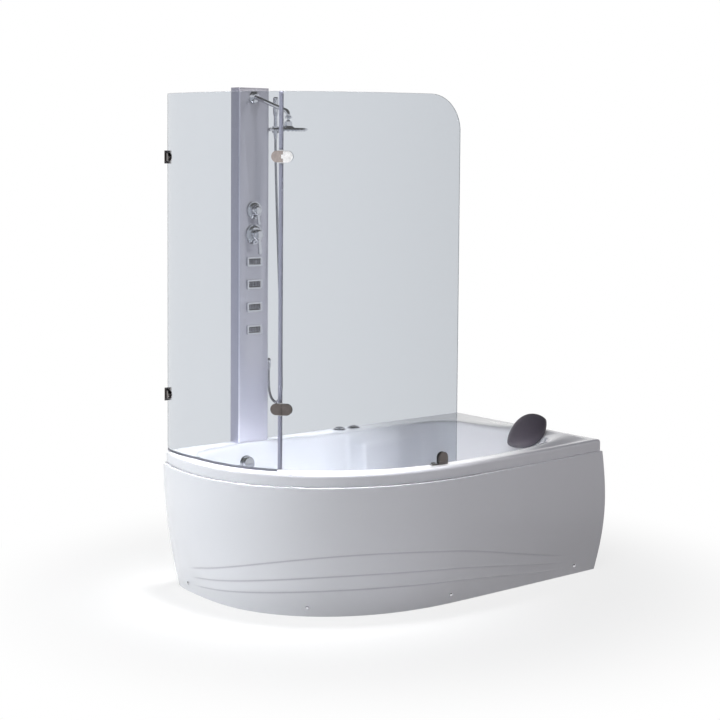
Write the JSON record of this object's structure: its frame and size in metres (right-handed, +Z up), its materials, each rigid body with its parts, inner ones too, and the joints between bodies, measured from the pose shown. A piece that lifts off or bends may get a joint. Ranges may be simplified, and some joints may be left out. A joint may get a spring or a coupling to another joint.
{
  "type": "jetted bathtub with shower screen",
  "caption": "Jetted bath for one wall with a curved apron, a headrest pillow, a two-panel curved glass screen and a wall shower column.",
  "frame": {"origin": "centre of the whole bath's bounding box on the floor", "axes": "+X along the wall towards the head end, +Y towards the wall behind the bath, +Z up"},
  "size_m": [1.717, 1.0176, 2.115],
  "materials": {
    "white_acrylic": "gloss",
    "chipboard": "matte",
    "zinc_steel": "satin",
    "foot_steel": "satin",
    "chrome_trim": "polished",
    "jet_face": "satin",
    "hose_metal": "ribbed, satin",
    "dark_chrome": "satin",
    "screen_glass": "clear",
    "clear_seal": "translucent",
    "column_aluminium": "satin anodised",
    "brass_pipe": "plain",
    "grey_plastic": "matte",
    "air_hose": "translucent",
    "pump_plastic": "matte",
    "motor_paint": "satin paint",
    "pillow_foam": "matte skin"
  },
  "bodies": {
    "bath": {"tub_shell": "white_acrylic", "base_board": "chipboard", "apron": "white_acrylic", "apron_brackets": "zinc_steel", "apron_screws": "chrome_trim", "frame_rails": "zinc_steel", "frame_cross_members": "zinc_steel", "levelling_feet": "foot_steel", "rim_posts": "zinc_steel", "drain_flange": "chrome_trim", "waste_trap": "grey_plastic", "overflow_bezel": "chrome_trim", "overflow_pipe": "grey_plastic", "deck_bezels": "chrome_trim", "headrest_pillow": "pillow_foam", "pump_motor": "motor_paint", "pump_housing": "pump_plastic", "pump_base": "pump_plastic", "suction_fitting": "grey_plastic", "water_pipe": "grey_plastic", "air_pipe": "air_hose", "jet_bodies": "grey_plastic", "column_body": "column_aluminium", "column_caps": "column_aluminium", "column_brackets": "zinc_steel", "column_pipework": "brass_pipe", "diverter_base": "chrome_trim", "mixer_base": "chrome_trim", "body_jet_frames": "chrome_trim", "shower_arm": "chrome_trim", "handset_holder": "chrome_trim", "hose_outlet": "chrome_trim", "shower_hose": "hose_metal", "hose_nuts": "chrome_trim", "fixed_glass": "screen_glass", "wall_clamps": "dark_chrome", "hinge_fixed_leaves": "dark_chrome", "hinge_pins": "chrome_trim", "screen_seals": "clear_seal", "rim_catch": "dark_chrome"},
    "door": {"door_glass": "screen_glass", "hinge_door_leaves": "dark_chrome", "door_clamp": "dark_chrome"},
    "overflow_turn": {"overflow_knob": "chrome_trim"},
    "plug": {"drain_plug": "chrome_trim"},
    "regulator": {"air_regulator_knob": "chrome_trim"},
    "button": {"push_button": "chrome_trim"},
    "nozzle_1": {"jet_nozzle_1": "chrome_trim"},
    "nozzle_2": {"jet_nozzle_2": "chrome_trim"},
    "nozzle_3": {"jet_nozzle_3": "chrome_trim"},
    "nozzle_4": {"jet_nozzle_4": "chrome_trim"},
    "diverter": {"diverter_handle": "chrome_trim"},
    "mixer": {"mixer_hub": "chrome_trim"},
    "lever": {"mixer_lever": "chrome_trim"},
    "plate_1": {"body_jet_plate_1": "jet_face"},
    "plate_2": {"body_jet_plate_2": "jet_face"},
    "plate_3": {"body_jet_plate_3": "jet_face"},
    "plate_4": {"body_jet_plate_4": "jet_face"},
    "rose": {"shower_head": "chrome_trim"},
    "handset": {"hand_shower": "chrome_trim"}
  },
  "joints": [
    {"name": "door_swing", "type": "hinge", "parent": "bath", "child": "door", "pos_m": [-0.69309, -0.17265, 1.3], "axis": [0, 0, -1], "range_deg": [0, 100]},
    {"name": "overflow_turn_joint", "type": "hinge", "parent": "bath", "child": "overflow_turn", "pos_m": [-0.44409, 0.4158, 0.505], "axis": [0.0329, -0.9892, 0.1427], "range_deg": [0, 90]},
    {"name": "plug_rise", "type": "slide", "parent": "bath", "child": "plug", "axis": [0, 0, 1], "range_m": [0, 0.012]},
    {"name": "air_regulator_turn", "type": "hinge", "parent": "bath", "child": "regulator", "pos_m": [0.0915, 0.461, 0.593], "axis": [0, 0, 1], "range_deg": [-90, 90]},
    {"name": "button_press", "type": "slide", "parent": "bath", "child": "button", "axis": [0, 0, -1], "range_m": [0, 0.004], "stiffness_N_per_m": 600, "springref_m": -0.003},
    {"name": "nozzle_1_tilt", "type": "hinge", "parent": "bath", "child": "nozzle_1", "pos_m": [-0.30146, -0.32682, 0.3406], "axis": [0.9538, -0.3006, 0], "range_deg": [-10, 10]},
    {"name": "nozzle_2_tilt", "type": "hinge", "parent": "bath", "child": "nozzle_2", "pos_m": [0.14045, -0.35299, 0.3406], "axis": [0.9941, 0.1084, 0], "range_deg": [-10, 10]},
    {"name": "nozzle_3_tilt", "type": "hinge", "parent": "bath", "child": "nozzle_3", "pos_m": [0.17481, 0.27949, 0.3406], "axis": [-0.9999, 0.0142, 0], "range_deg": [-10, 10]},
    {"name": "nozzle_4_tilt", "type": "hinge", "parent": "bath", "child": "nozzle_4", "pos_m": [-0.01554, 0.33985, 0.3406], "axis": [-0.9999, 0.0105, 0], "range_deg": [-10, 10]},
    {"name": "diverter_turn", "type": "hinge", "parent": "bath", "child": "diverter", "pos_m": [-0.3915, 0.447, 1.592], "axis": [0, -1, 0], "range_deg": [-45, 45]},
    {"name": "mixer_turn", "type": "hinge", "parent": "bath", "child": "mixer", "pos_m": [-0.3915, 0.447, 1.489], "axis": [0, -1, 0], "range_deg": [-45, 45]},
    {"name": "lever_lift", "type": "hinge", "parent": "mixer", "child": "lever", "pos_m": [-0.3915, 0.4215, 1.489], "axis": [-1, 0, 0], "range_deg": [0, 12]},
    {"name": "plate_1_tilt", "type": "hinge", "parent": "bath", "child": "plate_1", "pos_m": [-0.3915, 0.445, 1.372], "axis": [1, 0, 0], "range_deg": [-12, 12]},
    {"name": "plate_2_tilt", "type": "hinge", "parent": "bath", "child": "plate_2", "pos_m": [-0.3915, 0.445, 1.274], "axis": [1, 0, 0], "range_deg": [-12, 12]},
    {"name": "plate_3_tilt", "type": "hinge", "parent": "bath", "child": "plate_3", "pos_m": [-0.3915, 0.445, 1.176], "axis": [1, 0, 0], "range_deg": [-12, 12]},
    {"name": "plate_4_tilt", "type": "hinge", "parent": "bath", "child": "plate_4", "pos_m": [-0.3915, 0.445, 1.078], "axis": [1, 0, 0], "range_deg": [-12, 12]},
    {"name": "rose_tilt", "type": "hinge", "parent": "bath", "child": "rose", "pos_m": [-0.3915, 0.20021, 1.9666], "axis": [1, 0, 0], "range_deg": [-15, 15]},
    {"name": "handset_turn", "type": "hinge", "parent": "bath", "child": "handset", "pos_m": [-0.292, 0.43, 1.938], "axis": [0, 0, 1], "range_deg": [-60, 60]}
  ],
  "couplings": [
    {"joint": "plug_rise", "follows": "overflow_turn_joint", "m_per_rad": 0.007639}
  ]
}
